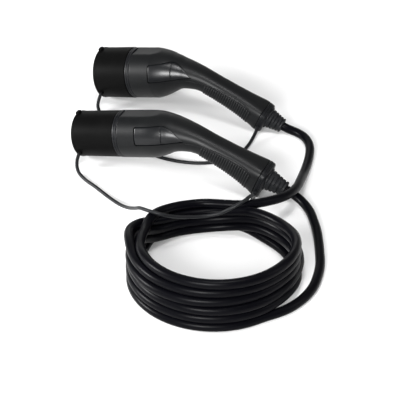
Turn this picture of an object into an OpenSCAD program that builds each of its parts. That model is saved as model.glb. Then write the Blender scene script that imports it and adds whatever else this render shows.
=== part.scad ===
// Charging cable for an electric car: a plug for the charging point, a coupler for the car, and one
// cable wound into a coil. Both connectors wear a tethered dust cap and stand on cap and heel.
// Each connector is drawn in its own frame: X runs back along the plug axis from the cap's front
// face, Z is up, and the handle bends down behind the head.

/* [Cable] */
// Diameter of the cable over its sheath
cable_d = 11.4; // [10:0.2:14]
// Radius of the coil at the middle of the cable
coil_r = 98; // [80:1:120]
// Turns that lie above each other at the front of the coil
coil_turns = 6; // [4:1:8]
// Turns that have slipped outside the others at the back of the coil
slipped_turns = 2; // [0:1:3]

/* [Handle] */
// Angle between the plug axis and the handle
bend_angle = 34; // [28:1:38]
// Radius of the bend along the middle of the handle
bend_r = 80; // [60:1:100]
// Thickness of the moulded shell
wall = 2.8; // [2:0.1:3.2]
// Ribs on the soft grip
grip_ribs = 14; // [8:1:18]
// How far the ribs stand proud of the handle
rib_proud = 0.8; // [0.3:0.1:1.2]
// Length of the ring that closes the handle
end_ring_len = 8; // [6:1:12]

/* [Plug] */
// Outer diameter of the plug's cap
plug_cap_d = 59; // [56:1:64]
// Length of the plug's cap
plug_cap_len = 60; // [50:1:70]
// Diameter of the plug's head
plug_head_d = 60; // [56:1:64]
// Distance from the cap's face to the corner where the handle bends
plug_corner = 156; // [150:1:170]
// Size of the plug's handle against the standard section
plug_grip_size = 1; // [0.9:0.01:1.1]

/* [Coupler] */
// Outer diameter of the coupler's cap
coupler_cap_d = 68; // [64:1:72]
// Length of the coupler's cap
coupler_cap_len = 48; // [45:1:60]
// Diameter of the coupler's head
coupler_head_d = 67; // [64:1:70]
// Distance from the cap's face to the corner where the handle bends
coupler_corner = 136; // [132:1:150]
// Size of the coupler's handle against the standard section
coupler_grip_size = 0.95; // [0.9:0.01:1]

/* [Contacts] */
// Diameter of a power pin
power_pin_d = 6; // [5:0.5:7]
// Diameter of a signal pin
signal_pin_d = 3; // [2.5:0.5:4]
// Clearance between a pin and its sleeve, on the diameter
pin_play = 0.2; // [0.1:0.05:0.4]

/* [Tethers] */
// Diameter of the cap's tether
tether_d = 4.4; // [3:0.2:6]

/* [Stand] */
// Nose-down pitch of the plug as it stands on cap and heel
plug_pitch = 13; // [10:0.5:15]
// Nose-down pitch of the coupler as it stands on cap and heel
coupler_pitch = 11.8; // [10:0.1:15]
// Turn of the plug about the upright
plug_yaw = -23.5; // [-30:0.5:-15]
// Turn of the coupler about the upright
coupler_yaw = -23.5; // [-30:0.5:-15]

/* [Hidden] */

// Index of each connector in the lists below
PLUG = 0;
COUPLER = 1;
PE = 0;
N = 1;
L1 = 2;
L2 = 3;
L3 = 4;
CP = 5;
PP = 6;

cap_d = [plug_cap_d, coupler_cap_d];
cap_len = [plug_cap_len, coupler_cap_len];
head_d = [plug_head_d, coupler_head_d];
corner = [plug_corner, coupler_corner];
grip_size = [plug_grip_size, coupler_grip_size];
pitch = [plug_pitch, coupler_pitch];
yaw = [plug_yaw, coupler_yaw];

// Where the middle of each cap's front face stands over the floor, from the coil's middle
cap_at = [[-167, 286], [-145, 440]];
// Shift that puts the middle of the two connectors over the origin
home = [40, -317];

// Rounding of the cap's front edge
cap_edge = 3;
// Thickness of the cap's front
cap_front = 4;
// Free space between the cap's front and the contact block
cap_space = 8;
// Gap that keeps the cap clear of the collar and of the nose
cap_gap = 0.4;
// Width of the ring between the cap and the housing
collar_len = 6.4;
// Height of the flat on top of each head
head_flat = [28.6, 31.8];
// Length of the handle from its corner to the end of its ring
handle_len = [111, 114];
// Length of the ribbed boot
boot_len = [26, 22];
// Height of the handle's end against the standard section
handle_end = [1, 0.84];
// How far the lowest turns have slipped back
slip = 11.2;
// Sides of a moulded section
sides = 32;

// Half of the bend's arc, measured along the middle of the handle
half_bend = bend_r * bend_angle * PI / 360;
// Distance from the corner back to the start of the bend
bend_back = bend_r * tan(bend_angle / 2);

// Standard handle section: distance from the corner, then the size there
top_of = [[-52, 30], [-44, 29.6], [-36, 28.6], [-29, 27], [-22, 24.6], [-12, 20.4], [0, 16.8],
          [12, 14.8], [24, 14.2], [48, 15.4], [73, 17], [96, 18.2], [106, 18.2], [114, 16.8]];
under_of = [[-52, 30], [-44, 29.2], [-36, 27.2], [-29, 24.8], [-22, 22.4], [-12, 20.2], [0, 18.6],
            [12, 16.8], [24, 16], [48, 16.6], [73, 18.6], [96, 22.6], [106, 26.4], [114, 25.4]];
side_of = [[-52, 30], [-44, 29.6], [-36, 28.6], [-29, 27.2], [-22, 25.6], [-12, 23], [0, 20.4],
           [12, 18.2], [24, 17.2], [48, 17.2], [73, 18.4], [96, 20.2], [106, 20.6], [114, 19.4]];
square_of = [[-52, 2], [0, 2.2], [40, 2.4], [80, 2.6], [104, 3.2], [114, 3]];

// Where the grip's ribs begin and end, from the corner
grip_from = 22;
grip_to = 92;
// Half of the arc that the grip covers, from the underside
grip_arc = 96;
// Depth of the grip in the shell
grip_depth = 1.2;

// Places of the contacts on the block's face, from the plug axis
contact_at = [[0, -1], [-16.5, -1], [16.5, -1], [8.5, -15.5], [-8.5, -15.5], [-7.5, 12], [7.5, 12]];
contact_d = [power_pin_d, power_pin_d, power_pin_d, power_pin_d, power_pin_d,
             signal_pin_d, signal_pin_d];
// Core diameters behind the contacts, power then signal
core_d = [3, 1.8];

// Routes: the middle of each cable or tether, from the coil's middle on the floor
plug_tail_route = [[101.5, 167, 9.6], [109.5, 158, 7], [115, 147, 5.9], [118.5, 136, 5.7],
    [121.5, 118, 5.7], [124, 98, 5.7], [125, 74, 5.7], [125, 50, 5.7], [124, 26, 5.7],
    [120, 3, 5.7], [113, -20, 5.7], [102, -40, 5.7], [86, -58, 5.7]];
coupler_tail_route = [[104, 330.5, 6.2], [112, 324.5, 5.7], [119.5, 315, 5.7], [124, 303.5, 5.7],
    [126, 289, 5.7], [124, 266, 5.7], [119, 240, 6.6], [113.5, 215, 10], [109, 193, 15.5],
    [104.5, 172, 21], [98.5, 154, 25.5], [90, 137, 30], [78, 122.5, 34], [62, 110, 37.6],
    [44, 100.5, 40.2]];
plug_tether_route = [[-171.5, 241, 7.2], [-169, 231, 4.2], [-160, 216, 2.4], [-147, 200, 2.2],
    [-130, 177, 2.4], [-114, 150, 8], [-102, 124, 20], [-93, 101, 34.5], [-86, 83, 46.5],
    [-77, 69, 52.5], [-65, 62.5, 52.5], [-54, 64.5, 48], [-43, 71, 42], [-29, 79, 36.5],
    [-12, 86.5, 32.5], [8, 87, 36.5],
    [23, 85, 46], [35.5, 89.5, 51.5], [43.5, 102, 50.5], [47.5, 116, 42.5], [49, 127, 31],
    [48.5, 136, 20], [47.5, 144, 13], [47.5, 151.5, 10.2]];
coupler_tether_route = [[-152.5, 394.5, 8.3], [-150.5, 384, 4.6], [-143, 363, 2.4],
    [-134, 343, 2.2], [-127, 330, 2.2], [-111, 308, 2.2], [-91, 287, 2.2], [-68, 270, 2.2],
    [-42, 259, 2.2], [-14, 255, 2.2], [14, 261, 2.2], [35, 277, 2.2], [48, 300, 3.2]];

$fn = 64;

// Smooth curve through the rows of a table of places and values
function row_before(t, x, i = 0) =
    i >= len(t) - 2 || x <= t[i + 1][0] ? i : row_before(t, x, i + 1);
function curve(t, x) =
    let (
        i = row_before(t, x),
        a = t[max(i - 1, 0)],
        b = t[i],
        c = t[i + 1],
        d = t[min(i + 2, len(t) - 1)],
        h = c[0] - b[0],
        u = min(max((x - b[0]) / h, 0), 1),
        mb = (c[1] - a[1]) / (c[0] - a[0]) * h,
        mc = (d[1] - b[1]) / (d[0] - b[0]) * h
    )
    (2 * pow(u, 3) - 3 * pow(u, 2) + 1) * b[1] + (pow(u, 3) - 2 * pow(u, 2) + u) * mb
    + (3 * pow(u, 2) - 2 * pow(u, 3)) * c[1] + (pow(u, 3) - pow(u, 2)) * mc;

function powered(v, p) = sign(v) * pow(abs(v), p);

// Slope of the handle's middle line at a distance from the corner, and the point there
function slope(d) = -bend_angle * min(max((d + half_bend) / (2 * half_bend), 0), 1);
function middle(k, d) =
    d <= -half_bend ? [corner[k] - bend_back + d + half_bend, 0]
    : d >= half_bend
        ? [corner[k], 0]
          + (bend_back + d - half_bend) * [cos(bend_angle), -sin(bend_angle)]
    : [corner[k] - bend_back - bend_r * sin(slope(d)), -bend_r * (1 - cos(slope(d)))];

// Height of a cap's middle over the floor, and the floor's height in the connector's own frame
function cap_height(k) =
    (cap_d[k] / 2 - cap_edge) * cos(pitch[k]) + cap_edge - cap_edge * sin(pitch[k]);
function floor_under(k, x) = (-cap_height(k) - x * sin(pitch[k])) / cos(pitch[k]);

// Size of the handle at a distance from the corner: at the head the section grows to the head's
function handle_size(k, d, t) =
    d < -52 ? head_d[k] / 2
    : let (
        base = curve(t, d),
        blend = min(max((d + 52) / 40, 0), 1),
        grow = head_d[k] / 60 * (1 - blend) + grip_size[k] * blend
      )
      base * grow;

// Share of its height that the handle keeps towards its end
function flatter(k, d) = 1 - (1 - handle_end[k]) * min(max((d - 24) / 80, 0), 1);

// One point of the handle's skin: inset is how far it lies inside the outer skin
function skin(k, d, angle, inset = 0) =
    let (
        p = 2 / curve(square_of, max(d, -52)),
        up = handle_size(k, d, sin(angle) > 0 ? top_of : under_of) * flatter(k, d) - inset,
        z = min(up * powered(sin(angle), p), head_flat[k] - inset),
        y = (handle_size(k, d, side_of) - inset) * powered(cos(angle), p),
        m = middle(k, d),
        x = m[0] + z * -sin(slope(d)),
        local_z = m[1] + z * cos(slope(d))
    )
    [x, y, max(local_z, floor_under(k, x) + inset)];

function ring(k, d, inset = 0) =
    [for (i = [0 : sides - 1]) skin(k, d, 360 * (i + 0.5) / sides, inset)];

// Faces that join rings of points: closed joins the last ring to the first, and mirrored splits
// each face along its other diagonal, so that a lining matches what it lies on
function side_faces(rings, n, closed, mirrored = false) =
    [for (r = [0 : rings - (closed ? 1 : 2)], i = [0 : n - 1])
        let (a = r * n + i, b = r * n + (i + 1) % n, s = ((r + 1) % rings) * n - r * n)
        each mirrored ? [[a, b, a + s], [b, b + s, a + s]] : [[a, b, b + s], [a, b + s, a + s]]];
function end_faces(rings, n) =
    [[for (i = [0 : n - 1]) n - 1 - i], [for (i = [0 : n - 1]) (rings - 1) * n + i]];

function flat_list(rings) = [for (r = rings, p = r) p];

// The same two ends for a folded strip, whose second half runs back along its first
function strip_ends(rings, n) =
    let (last = (rings - 1) * n)
    [for (i = [0 : n / 2 - 2])
        each [[n - 2 - i, i + 1, i], [n - 1 - i, n - 2 - i, i],
              [last + i, last + i + 1, last + n - 2 - i],
              [last + i, last + n - 2 - i, last + n - 1 - i]]];

module tube_of(rings, folded = false) {
    n = len(rings[0]);
    ends = folded ? strip_ends(len(rings), n) : end_faces(len(rings), n);
    polyhedron(
        points = flat_list(rings),
        faces = [for (f = concat(side_faces(len(rings), n, false, folded), ends))
            [for (i = [len(f) - 1 : -1 : 0]) f[i]]]
    );
}

module shell_of(rings) {
    n = len(rings[0]);
    polyhedron(
        points = flat_list(rings),
        faces = [for (f = side_faces(len(rings), n, true))
            [for (i = [len(f) - 1 : -1 : 0]) f[i]]]
    );
}

// A round cord along a route, with a ring of points at each of its points
function unit(v) = v / norm(v);
function cord_ring(route, i, r, n) =
    let (
        before = route[max(i - 1, 0)],
        after = route[min(i + 1, len(route) - 1)],
        along = unit(after - before),
        across = unit(cross([0, 0, 1], along)),
        up = cross(along, across)
    )
    [for (j = [0 : n - 1])
        route[i] + r * (cos(360 * (j + 0.5) / n) * across + sin(360 * (j + 0.5) / n) * up)];

module cord(route, d, n) {
    tube_of([for (i = [0 : len(route) - 1]) cord_ring(route, i, d / 2, n)]);
}

// Puts a connector, drawn in its own frame, where it stands
module stand(k) {
    translate([home[0], home[1], 0])
        translate([cap_at[k][0], cap_at[k][1], cap_height(k)])
            rotate([0, -pitch[k], yaw[k]])
                children();
}

// The same for one point
function stood(k, p) =
    let (
        x = p[0] * cos(pitch[k]) - p[2] * sin(pitch[k]),
        z = p[0] * sin(pitch[k]) + p[2] * cos(pitch[k])
    )
    [cap_at[k][0] + x * cos(yaw[k]) - p[1] * sin(yaw[k]),
     cap_at[k][1] + x * sin(yaw[k]) + p[1] * cos(yaw[k]),
     cap_height(k) + z];

// Turns a piece so that its Z axis runs back along the plug axis
module along_axis(x = 0) {
    translate([x, 0, 0]) rotate([0, 90, 0]) rotate([0, 0, 90]) children();
}

// Turns a piece so that its Z axis runs down the handle, from a distance past the corner
module along_handle(k, d) {
    m = middle(k, d);
    translate([m[0], 0, m[1]]) rotate([0, 90 + bend_angle, 0]) rotate([0, 0, 90]) children();
}

// Lug on the cap and eye on the end ring, which hold the ends of the tether
lug_angle = -62;
lug_high = 2.4;
eye_angle = -74;
eye_high = 3;
function below(angle) = [0, sin(angle), -cos(angle)];
function lug_end(k, further) = [6.4, 0, 0] + (cap_d[k] / 2 + lug_high + further) * below(lug_angle);
function eye_place(k, further) =
    skin(k, handle_len[k] - 4.5, 270 + eye_angle, 0) + further * below(eye_angle);

// Where the housing and its ring begin and end, from the corner
head_from = [for (k = [PLUG, COUPLER])
    cap_len[k] + cap_gap + collar_len - corner[k] + bend_back - half_bend];
ring_from = [for (k = [PLUG, COUPLER]) handle_len[k] - end_ring_len];
seam = 0.6;

grip_steps = 2 * grip_ribs;
grip_places = [for (i = [0 : grip_steps]) grip_from + (grip_to - grip_from) * i / grip_steps];
bend_places = [-52, -45, -38, -31, -25, -19, -12, -6, 0, 8];
outer_places = concat(bend_places, [15], grip_places);

// True for the sides of a section that the grip covers
first_grip_side = ceil((270 - grip_arc) * sides / 360 - 0.5);
last_grip_side = floor((270 + grip_arc) * sides / 360 - 0.5);

function shell_ring(k, d) =
    let (lies_under = d >= grip_from && d <= grip_to)
    [for (i = [0 : sides - 1])
        let (under = lies_under && i + (i < first_grip_side ? sides : 0) <= last_grip_side)
        skin(k, d, 360 * (i + 0.5) / sides, under ? grip_depth : 0)];

module housing_shell(k) {
    last = ring_from[k] - seam;
    outside = concat(
        [ring(k, head_from[k], 0.7), ring(k, head_from[k] + 1.2)],
        [for (d = outer_places) shell_ring(k, d)],
        [for (d = [grip_to + 1, last - 3, last]) ring(k, d)]
    );
    inside = [for (d = [last, 86, 68, 50, 34, 22, 12, 0, -10, -20, -30, -41, -52, head_from[k]])
        ring(k, d, wall + (d > grip_from - 8 && d < 90 ? grip_depth : 0))];
    shell_of(concat(outside, inside));
}

// Outline of a side panel, drawn looking at the head from its side: X back, Y up
panel_from = [92, 83];
panel_len = [62, 55];
panel_top = [20, 22];
panel_foot = [-1, 1];
panel_fall = 31;
panel_depth = 1.4;
panel_sunk = 0.4;

module panel_outline(k, grow) {
    x0 = panel_from[k] - grow;
    x1 = x0 + panel_len[k] + 2 * grow;
    top = panel_top[k] + grow;
    foot = panel_foot[k] - grow;
    polygon(concat(
        [[x0, foot], [x0, top]],
        [for (u = [0 : 0.2 : 1]) [x1 - panel_fall * (1 - u), top - (top - foot) * u * u]]
    ));
}

// The part of the handle's skin, between two depths, that lies behind a panel's outline
module panel_block(k, side, outside, inside, grow) {
    places = concat([head_from[k] + 4], bend_places);
    intersection() {
        shell_of(concat(
            [for (d = places) ring(k, d, outside)],
            [for (i = [len(places) - 1 : -1 : 0]) ring(k, places[i], inside)]
        ));
        translate([0, side > 0 ? head_d[k] : 0, 0])
            rotate([90, 0, 0]) linear_extrude(head_d[k]) panel_outline(k, grow);
    }
}

module housing(k) {
    color("#1c1d1f")
        stand(k)
            difference() {
                housing_shell(k);
                for (side = [-1, 1])
                    panel_block(k, side, -3, panel_depth, 0.3);
            }
}

module panel(k, side) {
    color("#26282b")
        stand(k)
            panel_block(k, side, panel_sunk, panel_depth, 0);
}

// The ring closes the handle and carries the eye of the tether
module end_ring(k) {
    from = ring_from[k];
    to = handle_len[k];
    rings = concat(
        [ring(k, from, 0.5), ring(k, from + 0.8), ring(k, to - 2), ring(k, to, 1.6)],
        [ring(k, to, 6), ring(k, from, 6)]
    );
    color("#1a1b1d")
        stand(k) {
            shell_of(rings);
            eye = eye_place(k, 0);
            translate(eye) rotate([eye_angle, 0, 0]) cube([5, 5, 2 * eye_high], center = true);
        }
}

module grip(k) {
    n = last_grip_side - first_grip_side + 1;
    under = [for (i = [0 : n - 1]) first_grip_side + i];
    rings = [for (j = [0 : grip_steps])
        let (d = grip_places[j], proud = j % 2 == 1 ? rib_proud : 0.1)
        concat(
            [for (i = under) skin(k, d, 360 * (i + 0.5) / sides, grip_depth)],
            [for (i = [n - 1 : -1 : 0])
                skin(k, d, 360 * (under[i] + 0.5) / sides, -proud)]
        )];
    color("#121314")
        stand(k) tube_of([for (r = rings) [for (i = [len(r) - 1 : -1 : 0]) r[i]]], folded = true);
}

module front_collar(k) {
    r = head_d[k] / 2;
    x0 = cap_len[k] + cap_gap;
    inner = r - 4.2;
    color("#202124")
        stand(k)
            along_axis(x0)
                rotate_extrude()
                    polygon([
                        [inner, 0], [r - 1, 0], [r, 0.8], [r, 2.2], [r - 0.7, 2.6], [r - 0.7, 3],
                        [r, 3.4], [r, collar_len - 0.8], [r - 0.7, collar_len], [inner, collar_len]
                    ]);
}

// Section of a nose: round, with a flat on top
module nose_face(r, flat_at) {
    difference() {
        circle(r = r);
        translate([-r, flat_at]) square([2 * r, r]);
    }
}

nose_r = [for (k = [PLUG, COUPLER]) head_d[k] / 2 - 4.2];
block_r = [for (k = [PLUG, COUPLER]) head_d[k] / 2 - wall - 0.6];
block_flat = [for (k = [PLUG, COUPLER]) head_flat[k] - wall - 0.6];
nose_front = cap_front + cap_space;
block_back = [for (k = [PLUG, COUPLER]) cap_len[k] + cap_gap + collar_len + 16];
well_d = [for (c = [PE : PP]) contact_d[c] + 4.6];
well_depth = 34;
// A pin is thicker where the block holds it
root_d = [for (c = [PE : PP]) contact_d[c] + 0.8];

module contact_place(c) {
    translate([contact_at[c][0], contact_at[c][1], 0]) children();
}

module plug_contact_block() {
    k = PLUG;
    seat = cap_len[k] + cap_gap;
    color("#18191b")
        stand(k)
            difference() {
                union() {
                    along_axis(nose_front)
                        linear_extrude(seat - nose_front + collar_len)
                            nose_face(nose_r[k], nose_r[k] - 3.4);
                    along_axis(seat + collar_len)
                        linear_extrude(block_back[k] - seat - collar_len)
                            nose_face(block_r[k], block_flat[k]);
                }
                for (c = [PE : PP])
                    along_axis(0) contact_place(c) {
                        translate([0, 0, nose_front - 1]) cylinder(d = well_d[c], h = well_depth + 1);
                        cylinder(d = root_d[c], h = block_back[k] + 1);
                    }
            }
}

module plug_pin(c) {
    tip = nose_front + 5;
    cone = contact_d[c] / 2;
    well_end = nose_front + well_depth;
    color("#c9ccd0")
        stand(PLUG)
            along_axis(0)
                contact_place(c) {
                    translate([0, 0, tip]) cylinder(d1 = contact_d[c] * 0.4, d2 = contact_d[c], h = cone);
                    translate([0, 0, tip + cone])
                        cylinder(d = contact_d[c], h = well_end - tip - cone);
                    translate([0, 0, well_end])
                        cylinder(d = root_d[c], h = block_back[PLUG] + 10 - well_end);
                }
}

shroud_depth = 32;
tube_wall = 2.2;

module coupler_contact_block() {
    k = COUPLER;
    seat = cap_len[k] + cap_gap;
    sleeve_d = [for (c = [PE : PP]) contact_d[c] + pin_play + 2];
    color("#18191b")
        stand(k)
            difference() {
                union() {
                    difference() {
                        along_axis(nose_front)
                            linear_extrude(seat - nose_front + collar_len)
                                nose_face(nose_r[k], nose_r[k] - 3.4);
                        along_axis(nose_front - 1)
                            linear_extrude(shroud_depth + 1)
                                nose_face(nose_r[k] - 3, nose_r[k] - 6.4);
                    }
                    along_axis(seat + collar_len)
                        linear_extrude(block_back[k] - seat - collar_len)
                            nose_face(block_r[k], block_flat[k]);
                    for (c = [PE : PP])
                        along_axis(nose_front + 3)
                            contact_place(c) cylinder(d = sleeve_d[c] + 2 * tube_wall, h = shroud_depth);
                }
                for (c = [PE : PP])
                    along_axis(0) contact_place(c)
                        cylinder(d = sleeve_d[c], h = block_back[k] + 1);
            }
}

module coupler_sleeve(c) {
    k = COUPLER;
    bore = contact_d[c] + pin_play;
    front = nose_front + 5;
    color("#c9ccd0")
        stand(k)
            along_axis(front)
                contact_place(c)
                    difference() {
                        cylinder(d = bore + 2, h = block_back[k] + 10 - front);
                        translate([0, 0, -1]) cylinder(d = bore, h = 31);
                    }
}

module block_plate(k) {
    hole = [for (c = [PE : PP]) k == PLUG ? root_d[c] : contact_d[c] + pin_play + 2];
    color("#303236")
        stand(k)
            along_axis(block_back[k])
                difference() {
                    cylinder(r = block_r[k] - 2, h = 4);
                    for (c = [PE : PP])
                        translate([0, 0, -1]) contact_place(c) cylinder(d = hole[c], h = 6);
                }
}

module seal(k) {
    x = cap_len[k] - 6;
    color("#5d2f24")
        stand(k)
            along_axis(x)
                linear_extrude(3)
                    difference() {
                        nose_face(nose_r[k] + 0.9, nose_r[k] - 2.5);
                        nose_face(nose_r[k], nose_r[k] - 3.4);
                    }
}

// The clamp grips the sheath inside the end of the handle
clamp_at = 84;
clamp_len = 12;
clamp_w = 22;
clamp_h = 8.4;

module clamp_half(k, side) {
    color("#2b2d30")
        stand(k)
            along_handle(k, clamp_at)
                difference() {
                    translate([-clamp_w / 2, side > 0 ? 0.6 : -clamp_h, 0])
                        cube([clamp_w, clamp_h - 0.6, clamp_len]);
                    translate([0, 0, -1]) cylinder(d = cable_d, h = clamp_len + 2);
                    for (x = [-1, 1])
                        translate([x * 8.8, 0, clamp_len / 2])
                            rotate([90, 0, 0]) cylinder(d = 3, h = 40, center = true);
                }
}

module clamp_screws(k) {
    color("#b8bbbe")
        stand(k)
            along_handle(k, clamp_at)
                for (x = [-1, 1])
                    translate([x * 8.8, 0, clamp_len / 2])
                        rotate([90, 0, 0]) {
                            translate([0, 0, -clamp_h]) cylinder(d = 3, h = 2 * clamp_h);
                            translate([0, 0, clamp_h]) cylinder(d = 5.4, h = 2);
                        }
}

// Middle of a core: from its contact to its place in the bundle, round the bend, to the sheath
function core_route(k, contact, place) =
    let (bundle = [for (d = [-half_bend, -half_bend / 3, half_bend / 3, half_bend, clamp_at - 2])
        let (m = middle(k, d))
        [m[0] - place[1] * sin(slope(d)), place[0], m[1] + place[1] * cos(slope(d))]])
    concat([[block_back[k] + 10, contact[0], contact[1]]], bundle);

// Places of the cores in the bundle, across and up
core_place = [[0, 0], [-3.3, 0], [3.3, 0], [1.7, -3.2], [-1.7, -3.2], [-1.5, 2.8], [1.5, 2.8]];

module cores(k) {
    color("#8a4b2a")
        stand(k)
            for (c = [PE : PP])
                cord(core_route(k, contact_at[c], core_place[c]), c < CP ? core_d[0] : core_d[1], 6);
}

module sheath(k) {
    color("#101112")
        stand(k)
            along_handle(k, clamp_at - 2)
                cylinder(d = cable_d, h = handle_len[k] + boot_len[k] - clamp_at + 2);
}

// Ribbed boot: a flange, then rings that shrink towards the cable; what would lie under the
// floor is moulded flat
boot_from_d = [34, 32];
boot_to_d = 22;
boot_rings = 5;

module boot(k) {
    flange = 4;
    step = (boot_len[k] - flange) / boot_rings;
    from_d = boot_from_d[k];
    fall = (from_d - 2 - boot_to_d) / (boot_rings - 1);
    ribs = [for (i = [0 : boot_rings - 1])
        let (r = (from_d - 2 - i * fall) / 2, z = flange + i * step)
        each [[r - 1.6, z], [r - 1.6, z + step * 0.2], [r, z + step * 0.3], [r, z + step]]];
    color("#161718")
        difference() {
            stand(k)
                along_handle(k, handle_len[k])
                    rotate_extrude()
                        polygon(concat(
                            [[cable_d / 2, 0], [from_d / 2, 0], [from_d / 2, flange - 1],
                             [from_d / 2 - 1, flange]],
                            ribs,
                            [[cable_d / 2 + 1, boot_len[k]], [cable_d / 2, boot_len[k]]]
                        ));
            translate([-250, -250, -20]) cube([500, 500, 20]);
        }
}

module cap(k) {
    r = cap_d[k] / 2;
    inner = nose_r[k] + 1.2;
    len_in = cap_len[k];
    color("#0f1011")
        stand(k) {
            along_axis(0)
                rotate_extrude()
                    difference() {
                        union() {
                            translate([0, cap_edge]) square([r, len_in - cap_edge]);
                            square([r - cap_edge, cap_edge]);
                            translate([r - cap_edge, cap_edge])
                                intersection() {
                                    circle(r = cap_edge);
                                    translate([0, -cap_edge]) square(cap_edge);
                                }
                        }
                        translate([0, cap_front]) square([inner, len_in]);
                        translate([0, len_in - 2]) square([inner + 0.8, 3]);
                    }
            // Pull lip at the top of the front edge
            translate([2, -4, r - 1.2]) cube([4.5, 8, 3.2]);
            // Lug that the tether is moulded to
            rotate([lug_angle, 0, 0])
                translate([3.6, -2.6, -r - lug_high]) cube([5.6, 5.2, lug_high + 1.2]);
        }
}

// A tether leaves the cap's lug, lies on the floor and rises to the eye of the end ring
module tether(k, route) {
    ends = [stood(k, lug_end(k, 0.3)), stood(k, lug_end(k, 7)),
            stood(k, eye_place(k, 11)), stood(k, eye_place(k, eye_high))];
    whole = concat([ends[0], ends[1]], route, [ends[2], ends[3]]);
    color("#141516")
        cord([for (p = whole) p + [home[0], home[1], 0]], tether_d, 8);
}

// A ring of turns lying above each other, from the floor up
module turns(high) {
    inner = coil_r - cable_d / 2;
    outer = coil_r + cable_d / 2;
    soft = 2;
    rotate_extrude()
        polygon([
            [inner, soft], [inner + soft, 0], [outer - soft, 0], [outer, soft],
            [outer, high - soft], [outer - soft, high], [inner + soft, high], [inner, high - soft]
        ]);
}

// The coil's outer shape: its lowest turns have slipped back, so the turns above lean that way
module cable_coil() {
    high = coil_turns * cable_d;
    slipped = slipped_turns * cable_d;
    color("#131415")
        translate([home[0], home[1], 0]) {
            difference() {
                turns(high);
                translate([0, -coil_r, high])
                    rotate([-atan(slipped / (2 * coil_r)), 0, 0])
                        translate([-150, -20, 0]) cube([300, 260, 60]);
            }
            intersection() {
                translate([0, slip, 0]) turns(slipped);
                translate([-150, 0, -1]) cube([300, 150, slipped + 2]);
            }
        }
}

// A tail starts in line with its boot and then follows its route
function tail(k, route) =
    let (
        end = handle_len[k] + boot_len[k],
        exit = [for (d = [end, end + 4]) let (m = middle(k, d)) stood(k, [m[0], 0, m[1]])]
    )
    [for (p = concat(exit, route)) p + [home[0], home[1], 0]];

module cable_tail(k, route) {
    color("#131415") cord(tail(k, route), cable_d, 10);
}

housing(PLUG);  // plug_housing
end_ring(PLUG);  // plug_end_ring
grip(PLUG);  // plug_grip
panel(PLUG, 1);  // plug_panel_left
panel(PLUG, -1);  // plug_panel_right
front_collar(PLUG);  // plug_front_collar
plug_contact_block();
block_plate(PLUG);  // plug_block_plate
plug_pin(PE);  // plug_pin_pe
plug_pin(N);  // plug_pin_n
plug_pin(L1);  // plug_pin_l1
plug_pin(L2);  // plug_pin_l2
plug_pin(L3);  // plug_pin_l3
plug_pin(CP);  // plug_pin_cp
plug_pin(PP);  // plug_pin_pp
seal(PLUG);  // plug_seal
clamp_half(PLUG, -1);  // plug_clamp_saddle
clamp_half(PLUG, 1);  // plug_clamp_bridge
clamp_screws(PLUG);  // plug_clamp_screws
cores(PLUG);  // plug_cores
sheath(PLUG);  // plug_sheath
boot(PLUG);  // plug_boot
cap(PLUG);  // plug_cap
tether(PLUG, plug_tether_route);  // plug_tether
housing(COUPLER);  // coupler_housing
end_ring(COUPLER);  // coupler_end_ring
grip(COUPLER);  // coupler_grip
panel(COUPLER, 1);  // coupler_panel_left
panel(COUPLER, -1);  // coupler_panel_right
front_collar(COUPLER);  // coupler_front_collar
coupler_contact_block();
block_plate(COUPLER);  // coupler_block_plate
coupler_sleeve(PE);  // coupler_sleeve_pe
coupler_sleeve(N);  // coupler_sleeve_n
coupler_sleeve(L1);  // coupler_sleeve_l1
coupler_sleeve(L2);  // coupler_sleeve_l2
coupler_sleeve(L3);  // coupler_sleeve_l3
coupler_sleeve(CP);  // coupler_sleeve_cp
coupler_sleeve(PP);  // coupler_sleeve_pp
seal(COUPLER);  // coupler_seal
clamp_half(COUPLER, -1);  // coupler_clamp_saddle
clamp_half(COUPLER, 1);  // coupler_clamp_bridge
clamp_screws(COUPLER);  // coupler_clamp_screws
cores(COUPLER);  // coupler_cores
sheath(COUPLER);  // coupler_sheath
boot(COUPLER);  // coupler_boot
cap(COUPLER);  // coupler_cap
tether(COUPLER, coupler_tether_route);  // coupler_tether
cable_coil();
cable_tail(PLUG, plug_tail_route);  // cable_plug_tail
cable_tail(COUPLER, coupler_tail_route);  // cable_coupler_tail
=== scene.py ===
"""Looks of a charging cable for an electric car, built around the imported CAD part.

Two connectors with capped noses and bent handles stand behind one coiled black cable. All
sizes are in millimetres until a mesh is made, and the frame is the CAD part's own.
"""

import logging
import math
from dataclasses import dataclass
from enum import Enum
from functools import cache

import bmesh
import bpy
import numpy as np
from bpy.types import ID, Material, Mesh, Node, NodeSocket, NodeTree, Object
from mathutils import Matrix, Vector


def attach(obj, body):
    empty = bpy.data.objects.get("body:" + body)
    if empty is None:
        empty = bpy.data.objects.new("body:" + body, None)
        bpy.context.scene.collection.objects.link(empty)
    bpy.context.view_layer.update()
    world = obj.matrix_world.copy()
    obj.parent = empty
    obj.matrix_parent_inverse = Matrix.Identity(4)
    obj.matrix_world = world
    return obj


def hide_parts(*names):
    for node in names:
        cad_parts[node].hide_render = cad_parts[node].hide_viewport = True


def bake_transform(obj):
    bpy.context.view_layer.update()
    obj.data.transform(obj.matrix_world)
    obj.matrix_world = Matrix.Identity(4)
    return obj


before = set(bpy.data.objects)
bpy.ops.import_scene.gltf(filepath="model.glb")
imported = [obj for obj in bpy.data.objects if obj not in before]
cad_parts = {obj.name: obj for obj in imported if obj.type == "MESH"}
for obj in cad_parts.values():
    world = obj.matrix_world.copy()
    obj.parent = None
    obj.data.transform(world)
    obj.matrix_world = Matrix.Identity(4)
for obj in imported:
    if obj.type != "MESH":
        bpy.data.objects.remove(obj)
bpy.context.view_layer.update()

Array = np.ndarray
Place = tuple[float, float, float]
Table = Array | tuple[tuple[float, float], ...]
Numbers = Array | float

MM = 0.001
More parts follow.
